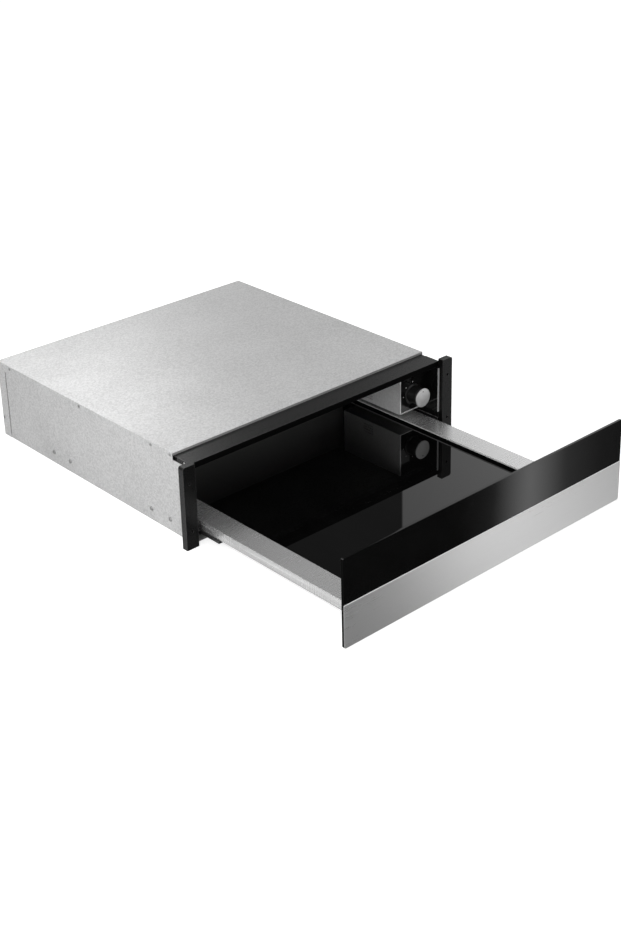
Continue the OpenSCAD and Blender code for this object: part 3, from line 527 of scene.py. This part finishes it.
def knob_body(cap_r):
    """Body with a slight waist, flared towards the cap."""
    low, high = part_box("knob")
    root, flare = 15.5, cap_r - 1.2
    body = turned("knob_body_turned", KNOB_AXIS.z,
                  (high.y, [(0, 0), (root - 0.6, 0), (root, -0.6), (root - 0.2, -3)]),
                  (low.y, [(root - 0.9, 7), (root - 0.4, 4.4), (root + 1, 2.4), (flare - 0.5, 1),
                           (flare, 0.4), (flare, 0), (0, 0)]))
    smooth(body, 40)
    stand_for(body, "knob")


def knob_bezel():
    """Flat ring round the knob's root, with a sloping outer edge."""
    low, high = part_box("knob_bezel")
    outer, inner = (high.x - low.x) / 2 / MM, 13.5
    ring = turned("knob_bezel_turned", KNOB_AXIS.z,
                  (high.y, [(inner, 0)]),
                  (low.y, [(inner, 0.5), (inner + 0.5, 0), (outer - 1.8, 0), (outer - 0.5, 0.7)]),
                  (high.y, [(outer, -0.2), (outer, 0), (inner, 0)]))
    smooth(ring, 30)
    stand_for(ring, "knob_bezel")


knob_body(knob_cap())
knob_bezel()

# The other CAD pieces are shown as they are
for name, obj in NODES.items():
    if not obj.hide_render:
        paint(obj, name)
        smooth(obj, 32)


# Stage, lights and camera
def floor():
    """Plain white floor: white to the camera, with a soft shadow, and out of sight of reflections."""
    half_width, below_part, glow_strength = 30, 0.4 * MM, 0.72
    bm = bmesh.new()
    bmesh.ops.create_grid(bm, x_segments=1, y_segments=1, size=half_width)
    obj = mesh_object("floor", bm)
    obj.location.z = -below_part
    mat = bpy.data.materials.new("floor_white")
    mat.use_nodes = True
    mat.node_tree.nodes.clear()
    diffuse = add_node(mat, "ShaderNodeBsdfDiffuse", Color=(0.8, 0.8, 0.8, 1))
    glow = add_node(mat, "ShaderNodeEmission", Color=(1, 1, 1, 1))
    path = add_node(mat, "ShaderNodeLightPath")
    drive(mat, glow, Strength=maths(mat, "MULTIPLY", path.outputs["Is Camera Ray"], glow_strength))
    both = add_node(mat, "ShaderNodeAddShader", [(0, diffuse.outputs[0]), (1, glow.outputs[0])])
    add_node(mat, "ShaderNodeOutputMaterial", [("Surface", both.outputs[0])])
    obj.data.materials.append(mat)
    obj.visible_glossy = False


def azimuth_ramp(env, turn, stops):
    """Levels round the horizon: (degrees from +X towards +Y, level) from -180 to 180."""
    ramp = add_node(env, "ShaderNodeValToRGB", [("Fac", turn)])
    while len(ramp.color_ramp.elements) < len(stops):
        ramp.color_ramp.elements.new(0.5)
    for element, (degrees, level) in zip(ramp.color_ramp.elements, stops):
        element.position = degrees / 360 + 0.5
        element.color = (*grey(level / RAMP_TOP), 1)
    return ramp.outputs["Color"]


def world():
    """White to the camera; elsewhere a plain studio: pale walls, a few darker screens, a pale floor."""
    env = bpy.data.worlds.new("studio")
    bpy.context.scene.world = env
    env.use_nodes = True
    env.node_tree.nodes.clear()
    coords = add_node(env, "ShaderNodeTexCoord")
    axes = add_node(env, "ShaderNodeSeparateXYZ", [("Vector", coords.outputs["Generated"])])
    azimuth = maths(env, "ARCTAN2", axes.outputs["Y"], axes.outputs["X"])
    turn = spread(env, azimuth, 0, 1, -math.pi, math.pi)
    sharp, soft = [[math.radians(degrees) for degrees in side] for side in SCREEN_SIDES]
    screen = maths(env, "SUBTRACT", spread(env, azimuth, 0, 1, *sharp), spread(env, azimuth, 0, 1, *soft))
    walls = tint(env, screen, azimuth_ramp(env, turn, LEVELS_ABOVE), grey(SCREEN_LEVEL / RAMP_TOP))
    above = spread(env, axes.outputs["Z"], 0, 1, *WALL_FOOT)
    level = tint(env, above, azimuth_ramp(env, turn, LEVELS_BELOW), walls)
    overhead = spread(env, axes.outputs["Z"], 0, 1, *CEILING_EDGE)
    room = tint(env, overhead, level, grey(CEILING_LEVEL / RAMP_TOP))
    path = add_node(env, "ShaderNodeLightPath")
    shown = tint(env, path.outputs["Is Camera Ray"], room, grey(1 / RAMP_TOP))
    background = add_node(env, "ShaderNodeBackground", [("Color", shown)], Strength=RAMP_TOP)
    add_node(env, "ShaderNodeOutputWorld", [("Surface", background.outputs[0])])


def softbox(name, place, aim, size, watts):
    """A rectangular area lamp aimed at a point."""
    data = bpy.data.lights.new(name, "AREA")
    data.shape = "RECTANGLE"
    data.size, data.size_y = size
    data.energy = watts
    lamp = bpy.data.objects.new(name, data)
    lamp.location = place
    lamp.rotation_euler = (Vector(aim) - Vector(place)).to_track_quat("-Z", "Y").to_euler()
    bpy.context.scene.collection.objects.link(lamp)


# The studio round the object. RAMP_TOP is the brightest level; a white wall is 1
RAMP_TOP, CEILING_LEVEL = 4.0, 0.25
# Where the walls begin above the floor and end at the ceiling, as the height of a direction of length 1
WALL_FOOT, CEILING_EDGE = (-0.42, -0.36), (0.6, 0.85)
# Levels round the horizon, of the walls and of the floor: degrees from +X towards +Y, and level
LEVELS_ABOVE = ((-180, 0.25), (-135, 0.25), (-110, 0.7), (-75, 1.5), (-61, 1.5), (-58, 0.05),
                (-50, 0.05), (-48, 4.0), (-46, 2.8), (-44, 0.3), (-40, 1.1), (-34, 0.3), (-28, 0.1),
                (-15, 0.1), (0, 0.5), (18, 1.3), (36, 1.3), (40, 0.95), (44.5, 0.66), (50, 0.66),
                (56, 0.5), (80, 0.5), (110, 0.3), (180, 0.25))
LEVELS_BELOW = ((-180, 0.35), (-100, 0.35), (-60, 0.04), (-42, 0.03), (-40.7, 0.18), (-39.5, 2.0),
                (-38.6, 0.70), (-37.6, 0.15), (-35, 0.08), (-20, 0.25), (40, 0.4), (115, 0.4), (121, 0.8),
                (124, 1.5), (127.5, 1.5), (130, 1.0), (136, 1.0), (140, 0.4), (180, 0.35))
# A dark screen behind, left of the drawer: its sharp right side and its soft left side, in degrees
SCREEN_SIDES, SCREEN_LEVEL = ((44.57, 44.65), (51, 56)), 0.08

floor()
world()
softbox("rear", (0.1, 1.05, 0.95), (0, 0, 0.14), (1.0, 0.6), 6.6)
softbox("above_left", (-0.8, 0.15, 0.85), (-0.25, 0, 0.14), (0.6, 0.6), 2.6)
softbox("left", (-0.9, -0.55, 0.4), (-0.3, -0.25, 0.07), (0.6, 0.5), 3.0)
softbox("front_left", (-1.6, -2.4, 1.0), (0.1, -0.3, 0.05), (1.2, 0.8), 6.5)

# Camera fitted to the photograph: place in metres, heading from +Y towards +X, tilt down and roll
CAMERA_PLACE = Vector((-1.5009, -1.9250, 1.2034))
HEADING, TILT, ROLL = 41.720, 22.966, 1.434
FOCAL_PX, PHOTO_HEIGHT_PX, AXIS_ABOVE_CENTRE_PX = 1557.1, 931, 125.5
SENSOR_MM = 36.0

camera_data = bpy.data.cameras.new("photo_camera")
camera_data.sensor_width = SENSOR_MM
camera_data.lens = FOCAL_PX / PHOTO_HEIGHT_PX * SENSOR_MM
camera_data.shift_y = -AXIS_ABOVE_CENTRE_PX / PHOTO_HEIGHT_PX
camera = bpy.data.objects.new("photo_camera", camera_data)
camera.matrix_world = (Matrix.Translation(CAMERA_PLACE) @ Matrix.Rotation(math.radians(-HEADING), 4, "Z")
                       @ Matrix.Rotation(math.radians(90 - TILT), 4, "X")
                       @ Matrix.Rotation(math.radians(-ROLL), 4, "Z"))
bpy.context.scene.collection.objects.link(camera)
bpy.context.scene.camera = camera
bpy.context.scene.view_settings.view_transform = "Standard"
